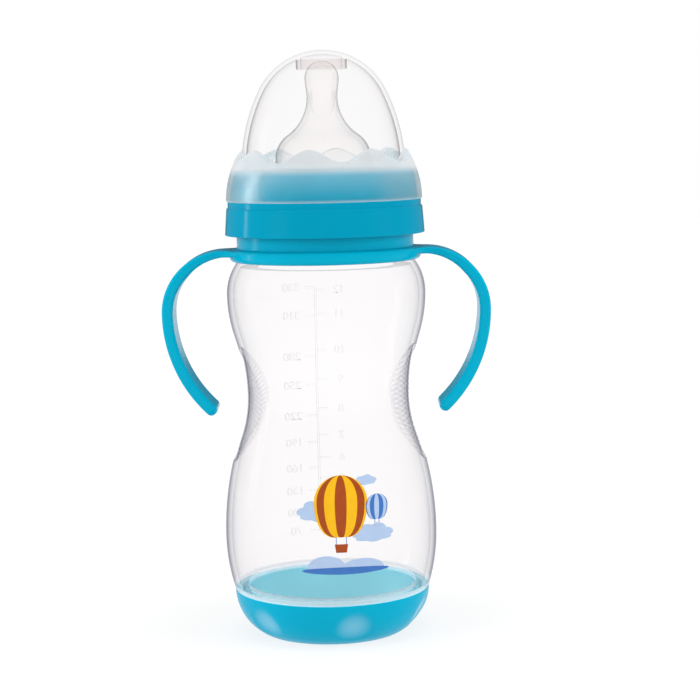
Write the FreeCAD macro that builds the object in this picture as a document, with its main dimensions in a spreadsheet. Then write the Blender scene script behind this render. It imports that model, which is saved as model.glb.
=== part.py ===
import FreeCAD
import Part
import Sketcher
import math
import os
from types import SimpleNamespace

# A feeding bottle of six mouldings: bottle, base cup, handle, screw collar, teat and cover.
# Millimetres, +Z up, the axis of the bottle on Z, the foot of the base cup on Z = 0.
# The front of the bottle faces -Y and the two handle arms reach out along +X and -X.

driving_sizes = {
    # Space between faces that nest, and between the neck and what turns round it
    "fit_gap": 0.3,
    "turn_gap": 0.35,
    # Base cup
    "cup_rim_radius": 35.2,
    "cup_rim_height": 16.1,
    "cup_foot_inset": 9.9,
    "cup_wall": 2.4,
    "recess_radius": 18.0,
    "recess_depth": 0.8,
    "scoop_count": 6,
    "scoop_radius": 40.0,
    "scoop_depth": 1.2,
    "scoop_slope_angle": 30.0,
    "scoop_azimuth": -76.5,
    # Bottle: the four rises share out the height between the cup's rim and the shoulder, and each swell
    # is measured from the narrower radius beside it
    "bottle_height": 163.5,
    "bottle_wall": 2.0,
    "bulge_swell": 3.0,
    "bulge_rise": 19.9,
    "waist_radius": 29.8,
    "waist_rise": 50.0,
    "waist_lower_bend": 43.0,
    "waist_upper_bend": 69.6,
    "crown_swell": 4.0,
    "crown_rise": 36.8,
    "shoulder_ledge": 2.6,
    "shoulder_rise": 11.8,
    "bearing_length": 6.4,
    "neck_radius": 27.0,
    "neck_length": 22.5,
    "neck_wall": 2.4,
    # Grip panels pressed into both sides of the waist
    "grip_height": 42.0,
    "grip_width": 37.2,
    "grip_drop": 3.2,
    "grip_depth": 1.0,
    # Screw thread shared by the neck and the collar
    "thread_lead": 5.0,
    "thread_turns": 1.25,
    "thread_depth": 1.6,
    "thread_foot": 2.0,
    "thread_crest": 1.0,
    "thread_gap": 0.4,
    "thread_rise": 4.7,
    # Handle
    "ring_flange": 2.55,
    "ring_height": 4.6,
    "ring_round": 1.4,
    "hub_wall": 2.3,
    "hub_height": 11.4,
    "arm_run": 2.1,
    "arm_depth": 18.0,
    "arm_thickness": 4.0,
    "arm_lift": 4.3,
    "arm_root": 1.5,
    "arm_notch": 0.8,
    "arm_bend": 22.3,
    "arm_sweep_radius": 50.0,
    "arm_sweep_angle": 46.3,
    "arm_round": 1.2,
    # Screw collar
    "band_gap": 2.05,
    "band_wall": 2.0,
    "band_taper": 0.7,
    "band_overlap": 2.3,
    "collar_nose": 10.7,
    "pry_groove_height": 2.4,
    "pry_groove_depth": 0.5,
    "collar_tube_wall": 1.6,
    "deck_thickness": 1.8,
    # Teat
    "flange_inset": 0.5,
    "flange_thickness": 1.4,
    "teat_wall": 1.5,
    "teat_radius": 17.1,
    "teat_base_height": 5.6,
    "teat_flare_rise": 22.0,
    "teat_flare_bend": 16.1,
    "teat_neck_radius": 5.45,
    "teat_neck_bend": 18.5,
    "teat_bulb_swell": 0.6,
    "teat_bulb_rise": 6.65,
    "teat_hole_radius": 0.6,
    # Cover
    "cover_wall": 1.5,
    "tip_room": 2.3,
    "dome_inset": 9.8,
    "dome_foot_inset": 5.8,
    "skirt_bend": 33.0,
    "scallop_count": 8,
    "scallop_lift": 4.7,
    "scallop_amplitude": 2.3,
    "scallop_azimuth": -99.0,
    "plug_gap": 1.35,
    "plug_wall": 1.6,
    "plug_length": 5.3,
}

doc = FreeCAD.newDocument("feeding_bottle")
sizes = doc.addObject("Spreadsheet::Sheet", "sizes")
for row, (alias, number) in enumerate(driving_sizes.items(), start=1):
    sizes.set(f"A{row}", alias.replace("_", " "))
    sizes.set(f"B{row}", str(number))
    sizes.setAlias(f"B{row}", alias)
levels = doc.addObject("Spreadsheet::Sheet", "levels")
doc.recompute()


class Formula:
    # An expression over the sheets' cells, written with ordinary arithmetic

    def __init__(self, text):
        self.text = text

    def __add__(self, other):
        return Formula(f"({self.text} + {text_of(other)})")

    def __sub__(self, other):
        return Formula(f"({self.text} - {text_of(other)})")

    def __rsub__(self, other):
        return Formula(f"({text_of(other)} - {self.text})")

    def __mul__(self, other):
        return Formula(f"({self.text} * {text_of(other)})")

    def __truediv__(self, other):
        return Formula(f"({self.text} / {text_of(other)})")

    __radd__ = __add__
    __rmul__ = __mul__


def text_of(item):
    return item.text if isinstance(item, Formula) else str(item)


def root(square):
    return Formula(f"sqrt({square.text})")


def least(*formulas):
    return Formula("min(" + "; ".join(formula.text for formula in formulas) + ")")


def sine(angle):
    return Formula(f"sin({angle.text} * 1 deg)")


def cosine(angle):
    return Formula(f"cos({angle.text} * 1 deg)")


def number_of(formula):
    return float(sizes.evalExpression(text_of(formula)))


def keep(alias, formula):
    # A worked-out value goes into the second sheet under its own name
    row = len(kept) + 1
    kept.append(alias)
    levels.set(f"A{row}", alias.replace("_", " "))
    levels.set(f"B{row}", "=" + formula.text)
    levels.setAlias(f"B{row}", alias)
    doc.recompute()
    return Formula(f"levels.{alias}")


fillet_share = 0.9  # the most of the room beside an edge that its fillet may take
kept = []
size = SimpleNamespace(**{alias: Formula(f"sizes.{alias}") for alias in driving_sizes})
zero = Formula("0")


def quarter_bend(run, rise):
    # Radius of the arc that starts upright and covers this run and rise
    return (rise * rise + run * run) / (2 * run)


def circle_reach(radius, rise):
    # Distance from the middle of a circle to its edge, this far above or below the middle
    return root(radius * radius - rise * rise)


# Levels from the foot upwards
ledge_level = size.cup_rim_height
rim_level = size.bottle_height
bearing_top = keep("bearing_top", rim_level - size.neck_length)
shoulder_level = keep("shoulder_level", bearing_top - size.bearing_length)
all_rises = size.bulge_rise + size.waist_rise + size.crown_rise + size.shoulder_rise
stretch = keep("stretch", (shoulder_level - ledge_level) / all_rises)
bulge_rise = keep("bulge_rise", size.bulge_rise * stretch)
shoulder_rise = keep("shoulder_rise", size.shoulder_rise * stretch)
bulge_level = keep("bulge_level", ledge_level + bulge_rise)
waist_level = keep("waist_level", bulge_level + size.waist_rise * stretch)
crown_level = keep("crown_level", shoulder_level - shoulder_rise)
hub_top = keep("hub_top", shoulder_level + size.hub_height)
tube_bottom = keep("tube_bottom", hub_top + size.fit_gap)
thread_level = keep("thread_level", tube_bottom + size.thread_rise)
flange_top = keep("flange_top", rim_level + size.flange_thickness)
deck_top = keep("deck_top", flange_top + size.deck_thickness)
band_bottom = keep("band_bottom", tube_bottom - size.band_overlap)
band_top = keep("band_top", deck_top - size.collar_nose)
cover_step = keep("cover_step", deck_top + size.fit_gap)
scallop_level = keep("scallop_level", cover_step + size.scallop_lift)
teat_shoulder_level = keep("teat_shoulder_level", flange_top + size.teat_base_height)
teat_neck_level = keep("teat_neck_level", teat_shoulder_level + size.teat_flare_rise)
teat_bulb_level = keep("teat_bulb_level", teat_neck_level + size.teat_bulb_rise)

# Radii from the neck outwards: the handle and the collar clear the neck's thread
clear_radius = keep("clear_radius", size.neck_radius + size.thread_depth + size.thread_gap)
shoulder_radius = keep("shoulder_radius", clear_radius + size.shoulder_ledge)
crown_radius = keep("crown_radius", shoulder_radius + size.crown_swell)
hub_bore = keep("hub_bore", clear_radius + size.turn_gap)
hub_radius = keep("hub_radius", hub_bore + size.hub_wall)
ring_radius = keep("ring_radius", hub_radius + size.ring_flange)
band_bore = keep("band_bore", hub_radius + size.band_gap)
band_radius = keep("band_radius", band_bore + size.band_wall)
band_top_radius = keep("band_top_radius", band_radius - size.band_taper)
skirt_radius = band_top_radius
dome_radius = keep("dome_radius", skirt_radius - size.dome_inset)
dome_foot = keep("dome_foot", skirt_radius - size.dome_foot_inset)
bulge_radius = keep("bulge_radius", size.cup_rim_radius + size.bulge_swell)
teat_bulb_radius = keep("teat_bulb_radius", size.teat_neck_radius + size.teat_bulb_swell)
cover_top = keep("cover_top", teat_bulb_level + teat_bulb_radius + size.tip_room + size.cover_wall)
dome_level = keep("dome_level", cover_top - dome_radius)


def origin_item(body, role):
    return next(item for item in body.Origin.OriginFeatures if item.Role == role)


def arc_between(start, end, radius, side):
    # The short arc from start to end, with its middle to the left or right of the way along it
    half = (end - start) * 0.5
    across = FreeCAD.Vector(-half.y, half.x, 0) if side == "left" else FreeCAD.Vector(half.y, -half.x, 0)
    depth = math.sqrt(max(radius * radius - half.Length ** 2, 0.0))
    middle = start + half + across.normalize() * depth
    first, last = (start, end) if side == "left" else (end, start)
    first_angle = math.atan2(first.y - middle.y, first.x - middle.x)
    last_angle = math.atan2(last.y - middle.y, last.x - middle.x)
    circle = Part.Circle(middle, FreeCAD.Vector(0, 0, 1), radius)
    return Part.ArcOfCircle(circle, first_angle, last_angle)


def bind(sketch, kind, *where, formula):
    index = sketch.addConstraint(Sketcher.Constraint(kind, *where, number_of(formula)))
    sketch.setExpression(f"Constraints[{index}]", formula.text)


def draw_outline(body, name, plane, steps):
    # A closed outline: each step is a corner across and up, and how the edge leaves it,
    # straight (None) or as an arc (its radius, and the side that its middle is on)
    sketch = body.newObject("Sketcher::SketchObject", name)
    sketch.AttachmentSupport = (origin_item(body, plane), [""])
    sketch.MapMode = "FlatFace"
    corners = [FreeCAD.Vector(number_of(across), number_of(up), 0) for across, up, _ in steps]
    start_end = []
    for index, (_, _, bend) in enumerate(steps):
        start, end = corners[index], corners[(index + 1) % len(corners)]
        if bend is None:
            sketch.addGeometry(Part.LineSegment(start, end))
        else:
            sketch.addGeometry(arc_between(start, end, number_of(bend[0]), bend[1]))
        start_end.append((2, 1) if bend and bend[1] == "right" else (1, 2))
    for index, (across, up, bend) in enumerate(steps):
        before = index - 1 if index else len(steps) - 1
        sketch.addConstraint(
            Sketcher.Constraint("Coincident", before, start_end[before][1], index, start_end[index][0])
        )
        spot = (index, start_end[index][0])
        if across is zero:
            sketch.addConstraint(Sketcher.Constraint("PointOnObject", *spot, -2))
        else:
            bind(sketch, "DistanceX", -1, 1, *spot, formula=across)
        if up is zero:
            sketch.addConstraint(Sketcher.Constraint("PointOnObject", *spot, -1))
        else:
            bind(sketch, "DistanceY", -1, 1, *spot, formula=up)
        if bend is not None:
            bind(sketch, "Radius", index, formula=bend[0])
    return sketch


def new_body(name):
    body = doc.addObject("PartDesign::Body", name)
    body.Label = name
    return body


def turn(body, name, steps):
    # A solid of revolution about Z
    sketch = draw_outline(body, name + "_outline", "XZ_Plane", steps)
    solid = body.newObject("PartDesign::Revolution", name)
    solid.Profile = sketch
    solid.ReferenceAxis = (sketch, ["V_Axis"])
    solid.Angle = 360
    doc.recompute()
    return solid


def boolean(kind, name, base, tool):
    result = doc.addObject("Part::" + kind, name)
    result.Base = base
    result.Tool = tool
    result.Label = name
    doc.recompute()
    return result


def swing(alias, far, near, bend):
    # An S-curve between two upright ends, each a radius and a level: the arc at the near end has the
    # given bend and curves the other way from the arc at the far end. Gives the point where the arcs
    # meet, at any depth below the surface, and the far arc's radius
    slope = keep(alias + "_slope", (far[0] - near[0]) / (near[1] - far[1]))
    whole = slope * slope + 1
    height = near[1] - far[1]
    far_bend = keep(alias + "_far_bend", root(height * height * whole * whole / (4 * slope * slope)) - bend)

    def meeting(depth):
        across = near[0] + (bend * 2 * slope * slope - depth * (1 - slope * slope)) / whole
        up = near[1] - (bend + depth) * 2 * slope / whole
        return across, up

    return meeting, far_bend


def thread(body, name, root_radius, crest_radius, start_level):
    # A helical ridge whose foot is sunk a little into the wall that carries it
    sunk = size.fit_gap if number_of(crest_radius) < number_of(root_radius) else 0 - size.fit_gap
    half_foot = size.thread_foot / 2
    half_crest = size.thread_crest / 2
    sketch = draw_outline(body, name + "_section", "XZ_Plane", [
        (root_radius + sunk, start_level - half_foot, None),
        (root_radius, start_level - half_foot, None),
        (crest_radius, start_level - half_crest, None),
        (crest_radius, start_level + half_crest, None),
        (root_radius, start_level + half_foot, None),
        (root_radius + sunk, start_level + half_foot, None),
    ])
    ridge = body.newObject("PartDesign::AdditiveHelix", name)
    ridge.Profile = sketch
    ridge.ReferenceAxis = (sketch, ["V_Axis"])
    ridge.Mode = "pitch-turns-angle"
    ridge.setExpression("Pitch", size.thread_lead.text)
    ridge.setExpression("Turns", size.thread_turns.text)
    ridge.Angle = 0
    doc.recompute()
    return ridge


# Base cup: a bowl with a flat foot, hollow so that the bottom of the bottle nests in it
cup_corner = keep("cup_corner", quarter_bend(size.cup_foot_inset, size.cup_rim_height))
corner_middle = keep("corner_middle", size.cup_rim_radius - cup_corner)


def nest_reach(depth):
    # Radius where the bowl, this deep below its outer face, meets a flat floor that is as deep
    return corner_middle + circle_reach(cup_corner - depth, size.cup_rim_height - depth)


def make_base_cup():
    body = new_body("base_cup")
    inner_bend = cup_corner - size.cup_wall
    turn(body, "bowl", [
        (zero, size.recess_depth, None),
        (size.recess_radius, size.recess_depth, None),
        (size.recess_radius, zero, None),
        (size.cup_rim_radius - size.cup_foot_inset, zero, (cup_corner, "left")),
        (size.cup_rim_radius, ledge_level, None),
        (size.cup_rim_radius - size.cup_wall, ledge_level, (inner_bend, "right")),
        (nest_reach(size.cup_wall), size.cup_wall, None),
        (zero, size.cup_wall, None),
    ])
    # A scoop is a round bar laid along the slope of the bowl, cut in as deep as the scoop
    scoop = body.newObject("PartDesign::SubtractiveCylinder", "scoop")
    bar_length = 2 * size.cup_rim_height
    reach = cup_corner - size.scoop_depth + size.scoop_radius
    across = (corner_middle + reach * cosine(size.scoop_slope_angle)
              - size.cup_rim_height * sine(size.scoop_slope_angle))
    up = (size.cup_rim_height - reach * sine(size.scoop_slope_angle)
          - size.cup_rim_height * cosine(size.scoop_slope_angle))
    scoop.setExpression("Radius", size.scoop_radius.text)
    scoop.setExpression("Height", bar_length.text)
    scoop.setExpression("Placement.Base.x", (across * cosine(size.scoop_azimuth)).text)
    scoop.setExpression("Placement.Base.y", (across * sine(size.scoop_azimuth)).text)
    scoop.setExpression("Placement.Base.z", up.text)
    upright_to_slope = FreeCAD.Rotation(FreeCAD.Vector(0, 1, 0), number_of(size.scoop_slope_angle))
    to_azimuth = FreeCAD.Rotation(FreeCAD.Vector(0, 0, 1), number_of(size.scoop_azimuth))
    scoop.Placement = FreeCAD.Placement(scoop.Placement.Base, to_azimuth * upright_to_slope)
    doc.recompute()
    scoops = body.newObject("PartDesign::PolarPattern", "scoops")
    scoops.Originals = [scoop]
    scoops.Axis = (origin_item(body, "Z_Axis"), [""])
    scoops.Angle = 360
    scoops.setExpression("Occurrences", size.scoop_count.text)
    body.Tip = scoops
    doc.recompute()
    return body


# Bottle: tangent arcs from bulge to waist to crown, with an even wall
nest_depth = keep("nest_depth", size.cup_wall + size.fit_gap)
flank_bend = keep("flank_bend", quarter_bend(size.bulge_swell, bulge_rise))
shoulder_bend = keep("shoulder_bend", quarter_bend(size.crown_swell, shoulder_rise))
waist = (size.waist_radius, waist_level)
lower_meeting, bulge_bend = swing("lower", (bulge_radius, bulge_level), waist, size.waist_lower_bend)
upper_meeting, crown_bend = swing("upper", (crown_radius, crown_level), waist, size.waist_upper_bend)


def make_bottle_body():
    wall = size.bottle_wall
    inner_depth = nest_depth + wall
    neck_bore = size.neck_radius - size.neck_wall
    inner_shoulder = shoulder_level - wall
    shell = new_body("bottle_shell")
    turn(shell, "shell", [
        (zero, nest_depth, None),
        (nest_reach(nest_depth), nest_depth, (cup_corner - nest_depth, "left")),
        (size.cup_rim_radius - nest_depth, ledge_level, None),
        (size.cup_rim_radius, ledge_level, (flank_bend, "left")),
        (bulge_radius, bulge_level, (bulge_bend, "left")),
        (*lower_meeting(zero), (size.waist_lower_bend, "right")),
        (size.waist_radius, waist_level, (size.waist_upper_bend, "right")),
        (*upper_meeting(zero), (crown_bend, "left")),
        (crown_radius, crown_level, (shoulder_bend, "left")),
        (shoulder_radius, shoulder_level, None),
        (clear_radius, shoulder_level, None),
        (clear_radius, bearing_top, None),
        (size.neck_radius, bearing_top, None),
        (size.neck_radius, rim_level, None),
        (neck_bore, rim_level, None),
        (neck_bore, inner_shoulder, None),
        (crown_radius - shoulder_bend + circle_reach(shoulder_bend - wall, shoulder_rise - wall),
         inner_shoulder, (shoulder_bend - wall, "right")),
        (crown_radius - wall, crown_level, (crown_bend - wall, "right")),
        (*upper_meeting(wall), (size.waist_upper_bend + wall, "left")),
        (size.waist_radius - wall, waist_level, (size.waist_lower_bend + wall, "left")),
        (*lower_meeting(wall), (bulge_bend - wall, "right")),
        (bulge_radius - wall, bulge_level, (flank_bend - wall, "right")),
        (bulge_radius - flank_bend + circle_reach(flank_bend - wall, bulge_rise - wall),
         ledge_level + wall, None),
        (size.cup_rim_radius - inner_depth, ledge_level + wall, None),
        (size.cup_rim_radius - inner_depth, ledge_level, (cup_corner - inner_depth, "right")),
        (nest_reach(inner_depth), inner_depth, None),
        (zero, inner_depth, None),
    ])
    crest_radius = size.neck_radius + size.thread_depth
    thread(shell, "neck_thread", size.neck_radius, crest_radius, thread_level)

    # Each grip panel is what an eye-shaped bar across the waist cuts outside a slightly slimmer bottle
    depth = size.grip_depth
    slim = new_body("slim_bottle")
    turn(slim, "slim", [
        (zero, bulge_level, None),
        (bulge_radius - depth, bulge_level, (bulge_bend - depth, "left")),
        (*lower_meeting(depth), (size.waist_lower_bend + depth, "right")),
        (size.waist_radius - depth, waist_level, (size.waist_upper_bend + depth, "right")),
        (*upper_meeting(depth), (crown_bend - depth, "left")),
        (crown_radius - depth, crown_level, None),
        (zero, crown_level, None),
    ])
    eye = new_body("grip_eye")
    half_width = size.grip_width / 2
    half_height = size.grip_height / 2
    middle = waist_level - size.grip_drop
    eye_bend = quarter_bend(half_width, half_height)
    sketch = draw_outline(eye, "eye_outline", "YZ_Plane", [
        (zero, middle - half_height, (eye_bend, "left")),
        (half_width, middle, (eye_bend, "left")),
        (zero, middle + half_height, (eye_bend, "left")),
        (0 - half_width, middle, (eye_bend, "left")),
    ])
    bar = eye.newObject("PartDesign::Pad", "eye_bar")
    bar.Profile = sketch
    bar.SideType = "Symmetric"
    bar.setExpression("Length", (4 * bulge_radius).text)
    doc.recompute()
    panels = boolean("Cut", "grip_panels", eye, slim)
    return boolean("Cut", "bottle_body", shell, panels)


def make_handle():
    # A ring on the shoulder, a hub up the neck and two arms
    body = new_body("handle")
    ring_top = shoulder_level + size.ring_height
    turn(body, "ring", [
        (hub_bore, shoulder_level, None),
        (ring_radius - size.ring_round, shoulder_level, (size.ring_round, "left")),
        (ring_radius, shoulder_level + size.ring_round, None),
        (ring_radius, ring_top, None),
        (hub_radius, ring_top, None),
        (hub_radius, hub_top, None),
        (hub_bore, hub_top, None),
    ])
    # The arm runs out level, bends down and sweeps back under, with a round tip. Its root is thinner,
    # so that it lies inside the ring, with a notch just outside it
    thickness = size.arm_thickness
    arm_top = shoulder_level + size.arm_lift
    arm_bottom = arm_top - thickness
    root_bottom = arm_top - size.arm_root
    bend_level = arm_top - size.arm_bend
    bend_start = ring_radius + size.arm_run
    reach = bend_start + size.arm_bend
    middle = reach - size.arm_sweep_radius
    inner_sweep = size.arm_sweep_radius - thickness
    centre_sweep = size.arm_sweep_radius - thickness / 2
    along, down = cosine(size.arm_sweep_angle), sine(size.arm_sweep_angle)
    notch_radius = ring_radius + size.arm_notch
    tip = thickness / 2
    root_radius = hub_radius - size.hub_wall / 2
    sketch = draw_outline(body, "arm_outline", "XZ_Plane", [
        (root_radius, root_bottom, None),
        (notch_radius, root_bottom, None),
        (notch_radius, arm_bottom, None),
        (bend_start, arm_bottom, (size.arm_bend - thickness, "right")),
        (reach - thickness, bend_level, (inner_sweep, "right")),
        (middle + inner_sweep * along, bend_level - inner_sweep * down, (tip, "left")),
        (middle + centre_sweep * along - tip * down, bend_level - centre_sweep * down - tip * along,
         (tip, "left")),
        (middle + size.arm_sweep_radius * along, bend_level - size.arm_sweep_radius * down,
         (size.arm_sweep_radius, "left")),
        (reach, bend_level, (size.arm_bend, "left")),
        (bend_start, arm_top, None),
        (root_radius, arm_top, None),
    ])
    arm = body.newObject("PartDesign::Pad", "arm")
    arm.Profile = sketch
    arm.SideType = "Symmetric"
    arm.setExpression("Length", size.arm_depth.text)
    doc.recompute()
    both = body.newObject("PartDesign::Mirrored", "both_arms")
    both.Originals = [arm]
    both.MirrorPlane = (origin_item(body, "YZ_Plane"), [""])
    body.Tip = both
    doc.recompute()
    # The long edges of the arms, on their two flat sides outside the ring, are rounded
    side = number_of(size.arm_depth) / 2
    outside = number_of(notch_radius)
    names = []
    for index, edge in enumerate(both.Shape.Edges, start=1):
        box = edge.BoundBox
        flat = box.YLength < 0.001 and abs(abs(box.YMin) - side) < 0.001
        if flat and max(abs(box.XMin), abs(box.XMax)) > outside + 0.001:
            names.append(f"Edge{index}")
    rounded = body.newObject("PartDesign::Fillet", "arm_edges")
    rounded.Base = (both, names)
    room = least(tip, size.arm_lift - size.ring_round) * fillet_share
    rounded.setExpression("Radius", least(size.arm_round, room).text)
    doc.recompute()
    return body


# Cover skirt: an arc that leaves the top of the collar's band upright. The collar follows it inside
skirt_middle = keep("skirt_middle", skirt_radius - size.skirt_bend)


def skirt_reach(depth, level):
    # Radius of the skirt, this deep below its outer face, at a level
    return skirt_middle + circle_reach(size.skirt_bend - depth, level - band_top)


def make_screw_collar():
    body = new_body("screw_collar")
    under_skirt = size.cover_wall + size.fit_gap
    tube_radius = clear_radius + size.collar_tube_wall
    groove_level = band_top - size.pry_groove_height
    groove_radius = band_top_radius - size.pry_groove_depth
    web_bottom = band_top - size.band_wall
    hole_radius = size.teat_radius + size.fit_gap
    turn(body, "ring", [
        (band_bore, band_bottom, None),
        (band_radius, band_bottom, None),
        (band_top_radius, groove_level, None),
        (groove_radius, groove_level, None),
        (groove_radius, band_top, None),
        (skirt_reach(under_skirt, band_top), band_top, (size.skirt_bend - under_skirt, "left")),
        (skirt_reach(under_skirt, deck_top), deck_top, None),
        (hole_radius, deck_top, None),
        (hole_radius, flange_top, None),
        (clear_radius, flange_top, None),
        (clear_radius, tube_bottom, None),
        (tube_radius, tube_bottom, None),
        (tube_radius, web_bottom, None),
        (band_bore, web_bottom, None),
    ])
    crest_radius = size.neck_radius + size.thread_gap
    thread(body, "collar_thread", clear_radius, crest_radius, thread_level - size.thread_lead / 2)
    return body


# Teat: a flange, a shoulder that flares in to the neck, and a round bulb with a hole in its tip
teat_shoulder = (size.teat_radius, teat_shoulder_level)
teat_neck = (size.teat_neck_radius, teat_neck_level)
teat_bulb = (teat_bulb_radius, teat_bulb_level)
flare_meeting, teat_shoulder_bend = swing("flare", teat_shoulder, teat_neck, size.teat_flare_bend)
bulb_meeting, teat_bulb_bend = swing("bulb", teat_bulb, teat_neck, size.teat_neck_bend)


def make_teat():
    body = new_body("teat")
    wall = size.teat_wall
    inner_tip = teat_bulb_radius - wall
    turn(body, "teat_shell", [
        (size.teat_radius - wall, rim_level, None),
        (size.neck_radius - size.flange_inset, rim_level, None),
        (size.neck_radius - size.flange_inset, flange_top, None),
        (size.teat_radius, flange_top, None),
        (*teat_shoulder, (teat_shoulder_bend, "left")),
        (*flare_meeting(zero), (size.teat_flare_bend, "right")),
        (*teat_neck, (size.teat_neck_bend, "right")),
        (*bulb_meeting(zero), (teat_bulb_bend, "left")),
        (*teat_bulb, (teat_bulb_radius, "left")),
        (size.teat_hole_radius, teat_bulb_level + circle_reach(teat_bulb_radius, size.teat_hole_radius),
         None),
        (size.teat_hole_radius, teat_bulb_level + circle_reach(inner_tip, size.teat_hole_radius),
         (inner_tip, "right")),
        (inner_tip, teat_bulb_level, (teat_bulb_bend - wall, "right")),
        (*bulb_meeting(wall), (size.teat_neck_bend + wall, "left")),
        (size.teat_neck_radius - wall, teat_neck_level, (size.teat_flare_bend + wall, "left")),
        (*flare_meeting(wall), (teat_shoulder_bend - wall, "right")),
        (size.teat_radius - wall, teat_shoulder_level, None),
    ])
    return body


# Cover dome: a flank that leaves the cover's step upright and bends over into the round top
dome_rise = keep("dome_rise", dome_level - cover_step)
dome_squares = dome_foot * dome_foot + dome_rise * dome_rise - dome_radius * dome_radius
dome_bend = keep("dome_bend", dome_squares / (2 * (dome_foot - dome_radius)))


def dome_reach(depth, level):
    # Radius of the dome's flank, this deep below its outer face, at a level
    return dome_foot - dome_bend + circle_reach(dome_bend - depth, level - cover_step)


def wavy_edge(radius):
    # A closed wave round the axis, the line that the skirt's scallops follow
    waves = round(number_of(size.scallop_count))
    points_per_wave = 12
    middle = number_of(scallop_level)
    amplitude = number_of(size.scallop_amplitude)
    crest = math.radians(number_of(size.scallop_azimuth))
    points = []
    for index in range(waves * points_per_wave):
        angle = 2 * math.pi * index / (waves * points_per_wave)
        level = middle + amplitude * math.cos(waves * (angle - crest))
        points.append(FreeCAD.Vector(radius * math.cos(angle), radius * math.sin(angle), level))
    curve = Part.BSplineCurve()
    curve.interpolate(Points=points, PeriodicFlag=True)
    return curve.toShape()


def make_cover():
    wall = size.cover_wall
    dome = new_body("cover_dome")
    inner_radius = dome_radius - wall
    along = (dome_bend - dome_foot) / (dome_bend - dome_radius)
    rising = dome_rise / (dome_bend - dome_radius)
    plug_bore = teat_bulb_radius + size.plug_gap
    plug_radius = plug_bore + size.plug_wall
    plug_bottom = cover_top - wall - size.plug_length
    turn(dome, "dome", [
        (dome_foot, cover_step, (dome_bend, "left")),
        (dome_radius * along, dome_level + dome_radius * rising, (dome_radius, "left")),
        (zero, cover_top, None),
        (zero, cover_top - wall, (inner_radius, "right")),
        (plug_bore, dome_level + circle_reach(inner_radius, plug_bore), None),
        (plug_bore, plug_bottom, None),
        (plug_radius, plug_bottom, None),
        (plug_radius, dome_level + circle_reach(inner_radius, plug_radius), (inner_radius, "right")),
        (inner_radius * along, dome_level + inner_radius * rising, (dome_bend - wall, "right")),
        (dome_foot - wall, cover_step, None),
    ])
    skirt = new_body("cover_skirt")
    half_wall = wall / 2
    blank_top = scallop_level + size.scallop_amplitude + size.fit_gap
    turn(skirt, "skirt_blank", [
        (skirt_reach(wall, band_top), band_top, None),
        (skirt_radius, band_top, (size.skirt_bend, "left")),
        (skirt_reach(zero, blank_top), blank_top, None),
        (dome_reach(half_wall, blank_top), blank_top, None),
        (dome_reach(half_wall, cover_step), cover_step, None),
        (skirt_reach(wall, cover_step), cover_step, (size.skirt_bend - wall, "right")),
    ])
    scallops = doc.addObject("Part::Feature", "scallop_cutter")
    inside = number_of(dome_radius / 2)
    outside = number_of(skirt_radius + dome_radius / 2)
    surface = Part.makeRuledSurface(wavy_edge(inside), wavy_edge(outside))
    scallops.Shape = surface.extrude(FreeCAD.Vector(0, 0, number_of(dome_radius)))
    scalloped = boolean("Cut", "scalloped_skirt", skirt, scallops)
    return boolean("Fuse", "cover", dome, scalloped)


sub_parts = [
    make_base_cup(),
    make_bottle_body(),
    make_handle(),
    make_screw_collar(),
    make_teat(),
    make_cover(),
]
doc.recompute()

for item in doc.Objects:
    if "Invalid" in item.State or "Error" in item.State:
        raise RuntimeError(f"{item.Label} failed: {item.State}")
for part in sub_parts:
    if part.Shape.isNull() or not part.Shape.isValid() or len(part.Shape.Solids) != 1:
        raise RuntimeError(f"{part.Label} is not one valid solid")

os.makedirs("parts", exist_ok=True)
for part in sub_parts:
    part.Shape.exportStep(f"parts/{part.Label}.step")
    box = part.Shape.optimalBoundingBox()
    print(f"{part.Label}: {part.Shape.Volume / 1000:.2f} cm3, z {box.ZMin:.2f} to {box.ZMax:.2f}, "
          f"x {box.XMin:.2f} to {box.XMax:.2f}")
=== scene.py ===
import math

import bmesh
import bpy
from mathutils import Matrix, Vector
from mathutils.bvhtree import BVHTree


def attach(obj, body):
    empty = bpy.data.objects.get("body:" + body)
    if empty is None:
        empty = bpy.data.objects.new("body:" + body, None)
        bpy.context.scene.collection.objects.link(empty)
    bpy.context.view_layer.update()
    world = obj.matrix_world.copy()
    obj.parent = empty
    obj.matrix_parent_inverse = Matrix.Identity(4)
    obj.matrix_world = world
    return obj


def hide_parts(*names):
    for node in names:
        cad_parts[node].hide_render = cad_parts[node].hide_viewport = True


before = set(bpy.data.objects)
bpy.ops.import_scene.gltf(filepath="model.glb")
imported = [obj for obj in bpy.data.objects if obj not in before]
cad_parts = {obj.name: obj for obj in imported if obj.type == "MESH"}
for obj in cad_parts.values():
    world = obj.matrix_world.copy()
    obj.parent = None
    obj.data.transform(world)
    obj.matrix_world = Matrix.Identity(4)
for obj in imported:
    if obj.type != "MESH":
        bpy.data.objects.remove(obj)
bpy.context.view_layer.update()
scene = bpy.context.scene
print("frame loaded")


# Shapes are drawn in millimetres and brought to metres when a piece is made.
toMetres = 0.001
toMillimetres = 1000
arcStep = 1.2
samePlace = 1e-4


# An arc of the given bend that leaves the near point upright meets an arc that leaves the far point upright.
# The result is the meeting point, moved into the wall by depth, and the bend of the far arc.

def meetSwing(far, near, bend, depth=0):
    slope = (far[0] - near[0]) / (near[1] - far[1])
    whole = slope * slope + 1
    farBend = abs((near[1] - far[1]) * whole / (2 * slope)) - bend
    across = near[0] + (bend * 2 * slope * slope - depth * (1 - slope * slope)) / whole
    up = near[1] - (bend + depth) * 2 * slope / whole
    return across, up, farBend


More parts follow.
